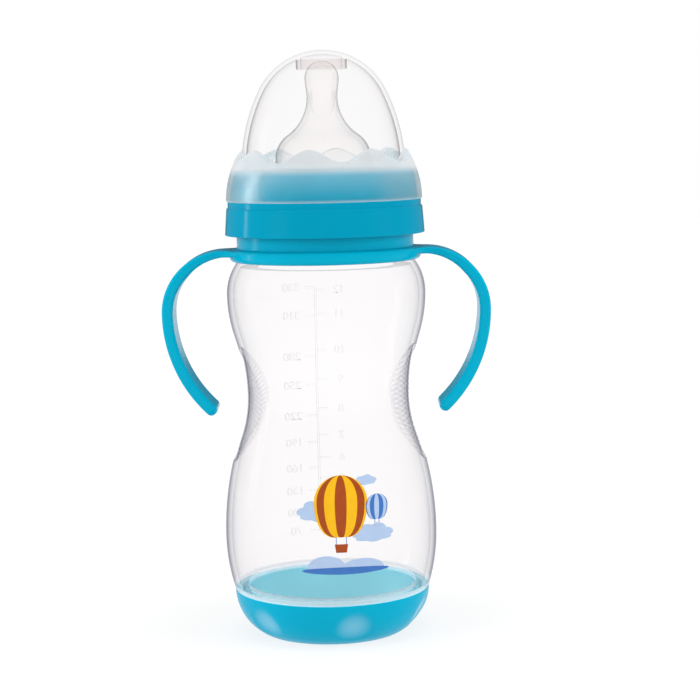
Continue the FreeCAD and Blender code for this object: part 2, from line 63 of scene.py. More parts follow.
def drawOutline(start, steps):
    bm = bmesh.new()
    last = bm.verts.new((start[0], 0, start[1]))
    for across, up, bend in steps:
        goal = Vector((across, 0, up))
        if bend == 0:
            last = bmesh.ops.extrude_vert_indiv(bm, verts=[last])["verts"][0]
            last.co = goal
            continue
        chord = goal - last.co
        hand = math.copysign(1, bend)
        inward = Vector((-chord.z, 0, chord.x)).normalized() * hand
        drop = math.sqrt(max(bend * bend - chord.length_squared / 4, 0))
        turn = 2 * math.asin(min(chord.length / 2 / abs(bend), 1))
        spun = bmesh.ops.spin(bm, geom=[last], cent=(last.co + goal) / 2 + inward * drop, axis=(0, -hand, 0),
                              angle=turn, steps=max(3, math.ceil(abs(bend) * turn / arcStep)))
        last = spun["geom_last"][0]
        last.co = goal
    return bm


def turnRound(bm, steps):
    bmesh.ops.remove_doubles(bm, verts=bm.verts, dist=samePlace)
    bmesh.ops.spin(bm, geom=bm.verts[:] + bm.edges[:], cent=(0, 0, 0), axis=(0, 0, 1), angle=math.tau,
                   steps=steps, use_merge=True)
    bmesh.ops.remove_doubles(bm, verts=bm.verts, dist=samePlace)
    bmesh.ops.recalc_face_normals(bm, faces=bm.faces)


def roundEdges(bm, offset, segments=3, least=28, where=lambda middle: True):
    sharp = [edge for edge in bm.edges
             if len(edge.link_faces) == 2 and edge.calc_face_angle() > math.radians(least)
             and where((edge.verts[0].co + edge.verts[1].co) / 2)]
    bmesh.ops.bevel(bm, geom=sharp, offset=offset, offset_type="OFFSET", affect="EDGES", segments=segments,
                    profile=0.5, material=-1, clamp_overlap=True)


def makePiece(name, bm, materials, body, replaced=None):
    bmesh.ops.scale(bm, vec=(toMetres, toMetres, toMetres), verts=bm.verts)
    for face in bm.faces:
        face.smooth = True
    mesh = bpy.data.meshes.new(name)
    bm.to_mesh(mesh)
    bm.free()
    for material in materials:
        mesh.materials.append(material)
    piece = bpy.data.objects.new(name, mesh)
    scene.collection.objects.link(piece)
    piece.modifiers.new("even shading", "WEIGHTED_NORMAL")
    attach(piece, body)
    if replaced:
        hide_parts(replaced)
    print(name, len(mesh.polygons), "faces")


# Materials

def startMaterial(name):
    material = bpy.data.materials.new(name)
    material.use_nodes = True
    tree = material.node_tree
    return material, tree, tree.nodes["Principled BSDF"]


def addNoise(tree, scale, detail=3):
    place = tree.nodes.get("place") or tree.nodes.new("ShaderNodeTexCoord")
    place.name = "place"
    noise = tree.nodes.new("ShaderNodeTexNoise")
    noise.inputs["Scale"].default_value = scale
    noise.inputs["Detail"].default_value = detail
    tree.links.new(place.outputs["Object"], noise.inputs["Vector"])
    return noise.outputs["Fac"]


def addRange(tree, value, low, high, fromLow=0.3, fromHigh=0.7):
    spread = tree.nodes.new("ShaderNodeMapRange")
    spread.inputs["From Min"].default_value = fromLow
    spread.inputs["From Max"].default_value = fromHigh
    spread.inputs["To Min"].default_value = low
    spread.inputs["To Max"].default_value = high
    tree.links.new(value, spread.inputs["Value"])
    return spread.outputs["Result"]


def addMath(tree, operation, *values):
    step = tree.nodes.new("ShaderNodeMath")
    step.operation = operation
    for socket, value in zip(step.inputs, values):
        if isinstance(value, (int, float)):
            socket.default_value = value
        else:
            tree.links.new(value, socket)
    return step.outputs["Value"]


def mixTones(tree, value, first, second):
    tones = tree.nodes.new("ShaderNodeMix")
    tones.data_type = "RGBA"
    for socket, tone in ((tones.inputs["A"], first), (tones.inputs["B"], second)):
        if isinstance(tone, tuple):
            socket.default_value = (*tone, 1)
        else:
            tree.links.new(tone, socket)
    tree.links.new(value, tones.inputs["Factor"])
    return tones.outputs["Result"]


def addBump(tree, value, strength, distance):
    bump = tree.nodes.new("ShaderNodeBump")
    bump.inputs["Strength"].default_value = strength
    bump.inputs["Distance"].default_value = distance
    tree.links.new(value, bump.inputs["Height"])
    return bump.outputs["Normal"]


def mixShaders(tree, share, first, second):
    either = tree.nodes.new("ShaderNodeMixShader")
    if isinstance(share, (int, float)):
        either.inputs["Fac"].default_value = share
    else:
        tree.links.new(share, either.inputs["Fac"])
    tree.links.new(first, either.inputs[1])
    tree.links.new(second, either.inputs[2])
    return either.outputs["Shader"]


plasticGrain = {"tone": 28, "rough": 160, "bump": 900, "strength": 0.03, "depth": 0.0002}


def makePlastic(name, deep, light, rough, gloss, through, paintedReflection=None):
    material, tree, shader = startMaterial(name)
    tone = mixTones(tree, addRange(tree, addNoise(tree, plasticGrain["tone"]), 0, 1), deep, light)
    # The paintedReflection attribute mixes in a pale tone: a painted reflection of the bright floor and lamps.
    if paintedReflection:
        wall = tree.nodes.new("ShaderNodeAttribute")
        wall.attribute_name = "paintedReflection"
        tone = mixTones(tree, wall.outputs["Fac"], tone, paintedReflection)
    tree.links.new(tone, shader.inputs["Base Color"])
    tree.links.new(addRange(tree, addNoise(tree, plasticGrain["rough"]), *rough), shader.inputs["Roughness"])
    shader.inputs["Specular IOR Level"].default_value = gloss
    bump = addBump(tree, addNoise(tree, plasticGrain["bump"]), plasticGrain["strength"], plasticGrain["depth"])
    tree.links.new(bump, shader.inputs["Normal"])
    glow = tree.nodes.new("ShaderNodeBsdfTranslucent")
    tree.links.new(tone, glow.inputs["Color"])
    body = mixShaders(tree, through, shader.outputs["BSDF"], glow.outputs["BSDF"])
    tree.links.new(body, tree.nodes["Material Output"].inputs["Surface"])
    return material


# A clear wall loses a little light where the light crosses it squarely and much more where the light runs along it;
# the darker edge tone this gives is partly the wall's own loss and partly painted shade for the darker surroundings
# seen bent through the wall. The light goes straight through, as in a thin wall, and only a frosted wall bends part
# of it. Haze is a share of cloudy plastic in level bands; on the lip that faces up it is a painted highlight, and in
# a ring it is a painted reflection.
clearWall = {"leastCosine": 0.17, "pathPower": -2.5, "innerLoss": (0.12, 1), "flatLoss": 0.1, "sideBlur": 0.002,
             "rippleStrength": 0.03, "rippleDepth": 0.0003, "roughScale": 120, "squareShine": 0.04, "shinePower": 5,
             "flatFrom": 0.7, "frostGloss": 0.15, "backHaze": 0.25, "lipLean": (0.4, 0.8), "lipBlur": 0.0005,
             "ringBlur": (0.0002, 0.0003)}


def makeClear(name, look):
    material, tree, shader = startMaterial(name)
    light = tree.nodes.new("ShaderNodeLightPath")
    facing = tree.nodes.new("ShaderNodeLayerWeight")
    facing.inputs["Blend"].default_value = 0.5
    cosine = addMath(tree, "MAXIMUM", addMath(tree, "SUBTRACT", 1, facing.outputs["Facing"]),
                     clearWall["leastCosine"])
    surface = tree.nodes.new("ShaderNodeNewGeometry")
    lean = tree.nodes.new("ShaderNodeSeparateXYZ")
    tree.links.new(surface.outputs["Normal"], lean.inputs["Vector"])
    level = addMath(tree, "ABSOLUTE", lean.outputs["Z"])
    normal = addBump(tree, addNoise(tree, look["ripple"]), clearWall["rippleStrength"], clearWall["rippleDepth"])
    axes = tree.nodes.new("ShaderNodeSeparateXYZ")
    tree.links.new(tree.nodes["place"].outputs["Object"], axes.inputs["Vector"])
    outward = addMath(tree, "ADD", addMath(tree, "MULTIPLY", lean.outputs["X"], axes.outputs["X"]),
                      addMath(tree, "MULTIPLY", lean.outputs["Y"], axes.outputs["Y"]))
    turned = addRange(tree, surface.outputs["Backfacing"], 1, -1, 0, 1)
    side = addMath(tree, "MULTIPLY", outward, turned)
    sideRange = (-clearWall["sideBlur"], clearWall["sideBlur"])
    outer = addRange(tree, side, *look.get("sides", clearWall["innerLoss"]), *sideRange)
    upright = addMath(tree, "MULTIPLY", outer, addRange(tree, level, 1, clearWall["flatLoss"], 0, 1))
    path = addMath(tree, "MULTIPLY", upright, addMath(
        tree, "SUBTRACT", addMath(tree, "POWER", cosine, clearWall["pathPower"]), 1))
    kept = addMath(tree, "EXPONENT", addMath(tree, "MULTIPLY", path, -look["loss"]))
    # The edge tone is partly the wall's own loss and partly painted shade at the edges.
    tone = mixTones(tree, kept, look["edge"], look["face"])
    through = tree.nodes.new("ShaderNodeBsdfTransparent")
    tree.links.new(tone, through.inputs["Color"])
    sheen = tree.nodes.new("ShaderNodeBsdfGlossy")
    tree.links.new(addRange(tree, addNoise(tree, clearWall["roughScale"]), *look["rough"]), sheen.inputs["Roughness"])
    tree.links.new(normal, sheen.inputs["Normal"])
    squareShine = clearWall["squareShine"]
    glance = addMath(tree, "ADD", squareShine, addMath(tree, "MULTIPLY", 1 - squareShine, addMath(
        tree, "POWER", facing.outputs["Facing"], clearWall["shinePower"])))
    shine = addRange(tree, level, look["shine"], look["flatShine"], clearWall["flatFrom"], 1)
    body = mixShaders(tree, addMath(tree, "MULTIPLY", glance, shine),
                      through.outputs["BSDF"], sheen.outputs["BSDF"])
    if "bend" in look:
        tree.links.new(tone, shader.inputs["Base Color"])
        tree.links.new(addRange(tree, addNoise(tree, clearWall["roughScale"]), *look["rough"]),
                       shader.inputs["Roughness"])
        tree.links.new(normal, shader.inputs["Normal"])
        shader.inputs["Transmission Weight"].default_value = 1
        shader.inputs["IOR"].default_value = look["ior"]
        shader.inputs["Specular IOR Level"].default_value = clearWall["frostGloss"]
        body = mixShaders(tree, look["bend"], body, shader.outputs["BSDF"])
    else:
        tree.nodes.remove(shader)
    if "haze" in look:
        cloud = tree.nodes.new("ShaderNodeBsdfTranslucent")
        cloud.inputs["Color"].default_value = (*look["cloud"], 1)
        film = tree.nodes.new("ShaderNodeBsdfDiffuse")
        film.inputs["Color"].default_value = (*look["cloud"], 1)
        share = addMath(tree, "SUBTRACT", 1, addMath(
            tree, "EXPONENT", addMath(tree, "MULTIPLY", path, -look["haze"])))
        front = addRange(tree, surface.outputs["Backfacing"], 1, clearWall["backHaze"], 0, 1)
        for fromHaze, toHaze, fromLevel, toLevel in look.get("bands", []):
            share = addMath(tree, "MAXIMUM", share, addMath(
                tree, "MULTIPLY", front, addRange(tree, axes.outputs["Z"], fromHaze, toHaze, fromLevel, toLevel)))
        # On the lip that faces up, near its top level, the cloudy share is a painted highlight.
        if "lip" in look:
            lipPaintedHighlight, lipLevel = look["lip"]
            share = addMath(tree, "MAXIMUM", share, addMath(
                tree, "MULTIPLY", addRange(tree, level, 0, lipPaintedHighlight, *clearWall["lipLean"]),
                addRange(tree, axes.outputs["Z"], 0, 1, lipLevel - clearWall["lipBlur"], lipLevel)))
            share = addMath(tree, "MULTIPLY", addRange(tree, side, 0, 1, *sideRange), share)
        # The ring is a painted reflection: a white band on the bottle's thick lower corner.
        if "ring" in look:
            low, high, ringPaintedReflection = look["ring"]
            lowBlur, highBlur = clearWall["ringBlur"]
            share = addMath(tree, "MAXIMUM", share, addMath(
                tree, "MULTIPLY", addRange(tree, axes.outputs["Z"], 0, ringPaintedReflection, low - lowBlur, low),
                addRange(tree, axes.outputs["Z"], 1, 0, high - highBlur, high + highBlur)))
        hazeAndPaintedShine = mixShaders(tree, 0.5, film.outputs["BSDF"], cloud.outputs["BSDF"])
        body = mixShaders(tree, share, body, hazeAndPaintedShine)
    shade = tree.nodes.new("ShaderNodeBsdfTransparent")
    shade.inputs["Color"].default_value = (*look["shade"], 1)
    body = mixShaders(tree, light.outputs["Is Shadow Ray"], body, shade.outputs["BSDF"])
    tree.links.new(body, tree.nodes["Material Output"].inputs["Surface"])
    return material


# The cup's pale second tone is a painted reflection of the floor and lamps in the scoops and along the foot.
cupPlastic = makePlastic("cup_plastic", deep=(0.0, 0.435, 0.635), light=(0.0, 0.46, 0.665), rough=(0.2, 0.28),
                         gloss=0.08, through=0.2, paintedReflection=(0.24, 0.62, 0.80))
# A much lighter copy of the cup plastic for the inside faces: painted light on an inside that lies in shade under the
# bottle.
cupPaintedLightInside = makePlastic("cup_painted_light_inside", deep=(0.40, 0.88, 0.96), light=(0.42, 0.905, 0.975), rough=(0.3, 0.38),
                        gloss=0.1, through=0.2)
gripPlastic = makePlastic("grip_plastic", deep=(0.0, 0.42, 0.615), light=(0.0, 0.445, 0.645), rough=(0.14, 0.2),
                          gloss=0.08, through=0.15)
# A darker copy of the blue plastic for the collar: painted shade.
collarPaintedShadePlastic = makePlastic("collar_painted_shade_plastic", deep=(0.0, 0.325, 0.505), light=(0.0, 0.345, 0.53), rough=(0.1, 0.16),
                            gloss=0.08, through=0.15)
# A lighter copy of the blue plastic for the collar's nose under the frosted skirt: painted light.
nosePaintedLightPlastic = makePlastic("nose_painted_light_plastic", deep=(0.0, 0.45, 0.645), light=(0.0, 0.475, 0.675), rough=(0.5, 0.6),
                          gloss=0.03, through=0.25)
clearPlastic = makeClear("clear_plastic", {
    "loss": 0.0105, "edge": (0.17, 0.18, 0.26), "face": (0.99, 0.985, 0.986), "rough": (0.02, 0.05), "ripple": 60,
    "shine": 0.15, "flatShine": 0.4, "shade": (0.98, 0.98, 0.98), "haze": 0.0005, "cloud": (0.90, 0.91, 0.95),
    # The ring share is a painted reflection.
    "ring": (0.0161, 0.0180, 0.42)})
# The ribs' greyer face and edge tones are painted shade that shows the raised ribs.
ribPlastic = makeClear("rib_plastic", {
    "loss": 0.007, "edge": (0.25, 0.26, 0.34), "face": (0.965, 0.964, 0.97), "rough": (0.04, 0.08), "ripple": 60,
    "shine": 0.1, "flatShine": 0.1, "shade": (0.98, 0.98, 0.98)})
# The marks' dark edge tone is painted shade along the raised strokes.
markPlastic = makeClear("mark_plastic", {
    "loss": 0.13, "edge": (0.4, 0.4, 0.43), "face": (1.0, 1.0, 1.0), "rough": (0.04, 0.08), "ripple": 60,
    "shine": 0.1, "flatShine": 0.1, "shade": (0.98, 0.98, 0.98)})
domePlastic = makeClear("dome_plastic", {
    "loss": 0.006, "sides": (1, 0.3), "edge": (0.25, 0.23, 0.24), "face": (0.996, 0.993, 0.993),
    "rough": (0.03, 0.06), "ripple": 60, "shine": 0.15, "flatShine": 0.2, "shade": (0.98, 0.98, 0.98)})
silicone = makeClear("silicone", {
    "loss": 0.02, "sides": (0.03, 1), "edge": (0.25, 0.26, 0.29), "face": (0.996, 0.992, 0.99),
    "rough": (0.18, 0.28), "ripple": 90, "shine": 0.12, "flatShine": 0.2, "shade": (0.98, 0.97, 0.96),
    "haze": 0.004, "cloud": (0.95, 0.94, 0.92)})
# A darker, warmer copy of the dome plastic for the plug ring: painted shade.
plugPaintedShadePlastic = makeClear("plug_painted_shade_plastic", {
    "loss": 0.02, "edge": (0.4, 0.39, 0.42), "face": (0.975, 0.961, 0.96), "rough": (0.06, 0.1), "ripple": 90,
    "shine": 0.1, "flatShine": 0.1, "shade": (0.98, 0.98, 0.98)})
frostedPlastic = makeClear("frosted_plastic", {
    "loss": 0.012, "edge": (0.5, 0.5, 0.52), "face": (1.0, 1.0, 1.0), "rough": (0.28, 0.36), "ior": 1.5,
    "ripple": 400, "shine": 0.08, "flatShine": 0.2, "bend": 0.45, "shade": (0.97, 0.97, 0.97), "haze": 0.004,
    "cloud": (0.94, 0.875, 0.85),
    "bands": [(0.0, 0.2, 0.1575, 0.1650), (0.0, 0.72, 0.1640, 0.1678), (0.45, 0.0, 0.1562, 0.1571)],
    # The lip share is a painted highlight along the scallop crest.
    "lip": (0.95, 0.1675)})
print("materials made")

# Base cup
# paler, paleFade, paleFoot, footInset and footShare shape the painted reflection.
cup = {"recess": 18.0, "recessDepth": 0.8, "foot": 25.3, "rim": 35.2, "rimLevel": 16.1, "gap": 0.2, "wall": 2.4,
       "scoopRadius": 40.0, "scoopDepth": 1.2, "scoopSlope": math.radians(30), "scoops": 6,
       "firstScoop": math.radians(-76.5), "soften": 0.03, "softReach": 1, "edge": 0.35, "around": 260,
       "paler": 0.8, "paleFade": 1.3, "paleFoot": 2.2, "footInset": 1, "footShare": 0.6, "insideMargin": 0.1}
cupCorner = (cup["rimLevel"] ** 2 + (cup["rim"] - cup["foot"]) ** 2) / (2 * (cup["rim"] - cup["foot"]))
cupMiddle = cup["rim"] - cupCorner
cupInner = cupCorner - cup["wall"]
cupFloor = cupMiddle + math.sqrt(cupInner ** 2 - (cup["rimLevel"] - cup["wall"]) ** 2)
bm = drawOutline((0, cup["recessDepth"]), [
    (cup["recess"], cup["recessDepth"], 0),
    (cup["recess"], 0, 0),
    (cup["foot"], 0, 0),
    (cup["rim"], cup["rimLevel"] - cup["gap"], cupCorner),
    (cup["rim"] - cup["wall"], cup["rimLevel"] - cup["gap"], 0),
    (cupFloor, cup["wall"], -cupInner),
    (0, cup["wall"], 0)])
turnRound(bm, cup["around"])
roundEdges(bm, cup["edge"])
scoopReach = cupCorner - cup["scoopDepth"] + cup["scoopRadius"]
# Painted reflection: the foot's lower edge and the scoops get a paler tone where the floor and lamps would show
# mirrored in them.
paintedReflection = bm.verts.layers.float.new("paintedReflection")
for vert in bm.verts:
    if vert.co.xy.length > cup["foot"] - cup["footInset"] and vert.co.z < cup["paleFoot"]:
        vert[paintedReflection] = cup["footShare"] * cup["paler"] * (1 - vert.co.z / cup["paleFoot"])
for count in range(cup["scoops"]):
    turn = Matrix.Rotation(cup["firstScoop"] + count * math.tau / cup["scoops"], 3, "Z")
    slope = cup["scoopSlope"]
    axle = turn @ Vector((math.sin(slope), 0, math.cos(slope)))
    middle = turn @ Vector((cupMiddle + scoopReach * math.cos(slope), 0,
                            cup["rimLevel"] - scoopReach * math.sin(slope)))
    for vert in bm.verts:
        away = vert.co - middle
        away -= axle * away.dot(axle)
        short = cup["scoopRadius"] - away.length
        if short > -cup["softReach"]:
            push = (short + math.sqrt(short * short + cup["soften"])) / 2
            vert.co += away.normalized() * push
            vert[paintedReflection] = max(vert[paintedReflection], min(push / cup["scoopDepth"], 1) ** cup["paleFade"] * cup["paler"])
# Inside faces above the floor get the lighter copy: painted light.
for face in bm.faces:
    middle = face.calc_center_median()
    inward = Vector((-middle.x, -middle.y, cup["rim"]))
    if middle.z > cup["wall"] - cup["insideMargin"] and face.normal.dot(inward) > 0:
        face.material_index = 1
makePiece("baseCup", bm, [cupPlastic, cupPaintedLightInside], "base", "base_cup")

# Handle
grip = {"bore": 29.35, "ring": 34.2, "ringBottom": 134.6, "ringTop": 139.2, "ringRound": 1.4, "hub": 31.65,
        "hubTop": 146.0, "root": 29.6, "rootShare": 0.6, "rootTurn": math.radians(45), "rootFillet": 8.0,
        "rootSteps": 8, "armTop": 138.9, "armThickness": 4.0, "armHalf": 9.0, "armRound": 1.2, "roundSteps": 4,
        "bendStart": 36.3, "bendRadius": 22.3, "bendSteps": 26, "sweepRadius": 50.0,
        "sweepAngle": math.radians(46.3), "sweepSteps": 28, "tipSteps": 6, "tipTurn": 14, "tipNarrowing": 0.02,
        "edge": 0.5, "around": 200}
bm = drawOutline((grip["bore"], grip["ringBottom"]), [
    (grip["ring"] - grip["ringRound"], grip["ringBottom"], 0),
    (grip["ring"], grip["ringBottom"] + grip["ringRound"], grip["ringRound"]),
    (grip["ring"], grip["ringTop"] - grip["ringRound"], 0),
    (grip["ring"] - grip["ringRound"], grip["ringTop"], grip["ringRound"]),
    (grip["hub"], grip["ringTop"], 0),
    (grip["hub"], grip["hubTop"], 0),
    (grip["bore"], grip["hubTop"], 0),
    (grip["bore"], grip["ringBottom"], 0)])
turnRound(bm, grip["around"])
roundEdges(bm, grip["edge"])
ringFaces = set(bm.faces)
armMiddle = grip["armTop"] - grip["armThickness"] / 2
bendLevel = grip["armTop"] - grip["bendRadius"]
section = bmesh.ops.create_grid(bm, x_segments=1, y_segments=1, size=1)["verts"]
bmesh.ops.scale(bm, verts=section, vec=(grip["armThickness"] / 2, grip["armHalf"], 1))
bmesh.ops.rotate(bm, verts=section, cent=(0, 0, 0), matrix=Matrix.Rotation(math.pi / 2, 3, "Y"))
bmesh.ops.translate(bm, verts=section, vec=(grip["root"], 0, armMiddle))
bmesh.ops.bevel(bm, geom=section, offset=grip["armRound"], affect="VERTICES", segments=grip["roundSteps"],
                profile=0.5, material=-1, clamp_overlap=True)
end = [face for face in bm.faces if face not in ringFaces]


def dropFaces(faces):
    bmesh.ops.delete(bm, geom=[face for face in faces if face.is_valid], context="FACES_ONLY")


def growFace(faces, move):
    grown = bmesh.ops.extrude_face_region(bm, geom=faces)["geom"]
    bmesh.ops.translate(bm, verts=[item for item in grown if isinstance(item, bmesh.types.BMVert)], vec=move)
    return [item for item in grown if isinstance(item, bmesh.types.BMFace)]


def swingFace(faces, centre, angle, steps):
    geom = bmesh.ops.spin(bm, geom=faces, cent=centre, axis=(0, 1, 0), angle=angle, steps=steps)["geom_last"]
    dropFaces(faces)
    return [item for item in geom if isinstance(item, bmesh.types.BMFace)]


for count in range(grip["rootSteps"]):
    inner = end
    end = growFace(end, ((grip["bendStart"] - grip["root"]) / grip["rootSteps"], 0, 0))
    if count:
        dropFaces(inner)
end = swingFace(end, (grip["bendStart"], 0, bendLevel), math.pi / 2, grip["bendSteps"])
sweepCentre = grip["bendStart"] + grip["bendRadius"] - grip["sweepRadius"]
end = swingFace(end, (sweepCentre, 0, bendLevel), grip["sweepAngle"], grip["sweepSteps"])
tipWay = Vector((-math.sin(grip["sweepAngle"]), 0, -math.cos(grip["sweepAngle"])))
tipSide = Vector((math.cos(grip["sweepAngle"]), 0, -math.sin(grip["sweepAngle"])))
for count in range(1, grip["tipSteps"] + 1):
    before, after = (math.radians(step * grip["tipTurn"]) for step in (count - 1, count))
    inner = end
    end = growFace(end, tipWay * (math.sin(after) - math.sin(before)) * grip["armThickness"] / 2)
    dropFaces(inner)
    middle = sum((vert.co for vert in end[0].verts), Vector()) / len(end[0].verts)
    for vert in end[0].verts:
        across = (vert.co - middle).dot(tipSide)
        vert.co -= tipSide * across * (1 - math.cos(after) / math.cos(before))
        vert.co.y *= 1 - grip["tipNarrowing"] * count
arm = [face for face in bm.faces if face not in ringFaces]

# The arm thins towards the ring and spreads into it
filletAcross = math.sqrt((grip["ring"] + grip["rootFillet"]) ** 2 - (grip["armHalf"] + grip["rootFillet"]) ** 2)
filletEnd = filletAcross * grip["ring"] / (grip["ring"] + grip["rootFillet"])
bendCentre = Vector((grip["bendStart"], 0, bendLevel))
for vert in {vert for face in arm for vert in face.verts}:
    short = min(max(filletAcross - vert.co.x, 0), filletAcross - filletEnd)
    spread = grip["rootFillet"] - math.sqrt(grip["rootFillet"] ** 2 - short ** 2)
    vert.co.y *= 1 + spread / grip["armHalf"]
    reach = vert.co - bendCentre
    angle = max(math.atan2(reach.x, reach.z), 0)
    share = min(grip["rootShare"] + (1 - grip["rootShare"]) * angle / grip["rootTurn"], 1)
    if vert.co.x < grip["bendStart"]:
        vert.co.z = grip["armTop"] - (grip["armTop"] - vert.co.z) * share
    elif share < 1:
        reach.y = 0
        depth = grip["bendRadius"] - reach.length
        vert.co += reach.normalized() * depth * (1 - share)
other = bmesh.ops.duplicate(bm, geom=arm)["geom"]
bmesh.ops.scale(bm, verts=[item for item in other if isinstance(item, bmesh.types.BMVert)], vec=(-1, 1, 1))
bmesh.ops.remove_doubles(bm, verts=bm.verts, dist=samePlace)
bmesh.ops.recalc_face_normals(bm, faces=bm.faces)
makePiece("gripHandle", bm, [gripPlastic], "handle", "handle")

# Screw collar
collar = {"bandBore": 33.7, "band": 35.7, "bandBottom": 144.0, "bandTop": 35.0, "grooveLevel": 153.6,
          "groove": 34.5, "noseLevel": 156.0, "nose": 33.2, "noseMiddle": 2.0, "deckTop": 166.7, "hole": 17.4,
          "deckBottom": 164.9, "clear": 29.0, "tubeBottom": 146.3, "tube": 30.6, "webBottom": 154.0,
          "threadDepth": 1.6, "threadSink": 0.2, "threadFoot": 1.6, "threadCrest": 0.3, "threadStart": 148.5,
          "threadSteps": 72, "pitch": 5.0, "turns": 1.25, "edge": 0.4, "around": 200, "noseMargin": 0.2}
noseBend = collar["nose"] - collar["noseMiddle"]
noseTop = collar["noseMiddle"] + math.sqrt(noseBend ** 2 - (collar["deckTop"] - collar["noseLevel"]) ** 2)
bm = drawOutline((collar["bandBore"], collar["bandBottom"]), [
    (collar["band"], collar["bandBottom"], 0),
    (collar["bandTop"], collar["grooveLevel"], 0),
    (collar["groove"], collar["grooveLevel"], 0),
    (collar["groove"], collar["noseLevel"], 0),
    (collar["nose"], collar["noseLevel"], 0),
    (noseTop, collar["deckTop"], noseBend),
    (collar["hole"], collar["deckTop"], 0),
    (collar["hole"], collar["deckBottom"], 0),
    (collar["clear"], collar["deckBottom"], 0),
    (collar["clear"], collar["tubeBottom"], 0),
    (collar["tube"], collar["tubeBottom"], 0),
    (collar["tube"], collar["webBottom"], 0),
    (collar["bandBore"], collar["webBottom"], 0),
    (collar["bandBore"], collar["bandBottom"], 0)])
turnRound(bm, collar["around"])
roundEdges(bm, collar["edge"])
threadFoot = collar["clear"] + collar["threadSink"]
threadTop = collar["clear"] - collar["threadDepth"]
wire = [bm.verts.new((across, 0, collar["threadStart"] + rise)) for across, rise in (
    (threadFoot, -collar["threadFoot"]), (threadTop, -collar["threadCrest"]),
    (threadTop, collar["threadCrest"]), (threadFoot, collar["threadFoot"]))]
threadEnd = bmesh.ops.contextual_create(bm, geom=wire)["faces"]
threadSteps = round(collar["turns"] * collar["threadSteps"])
bmesh.ops.spin(bm, geom=threadEnd, cent=(0, 0, 0), axis=(0, 0, 1), angle=collar["turns"] * math.tau,
               dvec=(0, 0, collar["pitch"] * collar["turns"] / threadSteps), steps=threadSteps)
bmesh.ops.recalc_face_normals(bm, faces=bm.faces)
# Faces above the nose level get the lighter copy: painted light.
for face in bm.faces:
    if face.calc_center_median().z > collar["noseLevel"] + collar["noseMargin"]:
        face.material_index = 1
makePiece("screwCollar", bm, [collarPaintedShadePlastic, nosePaintedLightPlastic], "collar", "screw_collar")

# Teat
teat = {"base": 17.1, "bottom": 163.5, "flange": 26.5, "flangeTop": 164.9, "shoulder": 170.5, "neck": 5.45,
        "neckLevel": 192.5, "neckBend": 16.1, "bulb": 6.05, "bulbLevel": 199.15, "bulbBend": 18.5, "wall": 1.5,
        "hole": 0.6, "edge": 0.4, "edgeFrom": 10, "around": 128, "leafTurns": (-135, -50, 40, 130),
        "leaf": (0.35, 0.95, 4.6), "leafPlace": (5.75, 0, 190.6), "leafLean": math.radians(-16)}
flareFoot = (teat["base"], teat["shoulder"])
neckPoint = (teat["neck"], teat["neckLevel"])
bulbPoint = (teat["bulb"], teat["bulbLevel"])
flareAcross, flareUp, shoulderBend = meetSwing(flareFoot, neckPoint, teat["neckBend"])
flareInX, flareInZ = meetSwing(flareFoot, neckPoint, teat["neckBend"], teat["wall"])[:2]
bulbAcross, bulbUp, crownBend = meetSwing(bulbPoint, neckPoint, teat["bulbBend"])
bulbInX, bulbInZ = meetSwing(bulbPoint, neckPoint, teat["bulbBend"], teat["wall"])[:2]
bulbIn = teat["bulb"] - teat["wall"]
bm = drawOutline((teat["base"] - teat["wall"], teat["bottom"]), [
    (teat["flange"], teat["bottom"], 0),
    (teat["flange"], teat["flangeTop"], 0),
    (teat["base"], teat["flangeTop"], 0),
    (teat["base"], teat["shoulder"], 0),
    (flareAcross, flareUp, shoulderBend),
    (teat["neck"], teat["neckLevel"], -teat["neckBend"]),
    (bulbAcross, bulbUp, -teat["bulbBend"]),
    (teat["bulb"], teat["bulbLevel"], crownBend),
    (teat["hole"], teat["bulbLevel"] + math.sqrt(teat["bulb"] ** 2 - teat["hole"] ** 2), teat["bulb"]),
    (teat["hole"], teat["bulbLevel"] + math.sqrt(bulbIn ** 2 - teat["hole"] ** 2), 0),
    (bulbIn, teat["bulbLevel"], -bulbIn),
    (bulbInX, bulbInZ, -(crownBend - teat["wall"])),
    (teat["neck"] - teat["wall"], teat["neckLevel"], teat["bulbBend"] + teat["wall"]),
    (flareInX, flareInZ, teat["neckBend"] + teat["wall"]),
    (teat["base"] - teat["wall"], teat["shoulder"], -(shoulderBend - teat["wall"])),
    (teat["base"] - teat["wall"], teat["bottom"], 0)])
turnRound(bm, teat["around"])
roundEdges(bm, teat["edge"], where=lambda middle: middle.xy.length > teat["edgeFrom"])
for turn in teat["leafTurns"]:
    leaf = bmesh.ops.create_uvsphere(bm, u_segments=16, v_segments=12, radius=1)["verts"]
    bmesh.ops.scale(bm, verts=leaf, vec=teat["leaf"])
    bmesh.ops.rotate(bm, verts=leaf, cent=(0, 0, 0), matrix=Matrix.Rotation(teat["leafLean"], 3, "X"))
    bmesh.ops.translate(bm, verts=leaf, vec=teat["leafPlace"])
    bmesh.ops.rotate(bm, verts=leaf, cent=(0, 0, 0), matrix=Matrix.Rotation(math.radians(turn), 3, "Z"))
makePiece("teatSilicone", bm, [silicone], "teat", "teat")

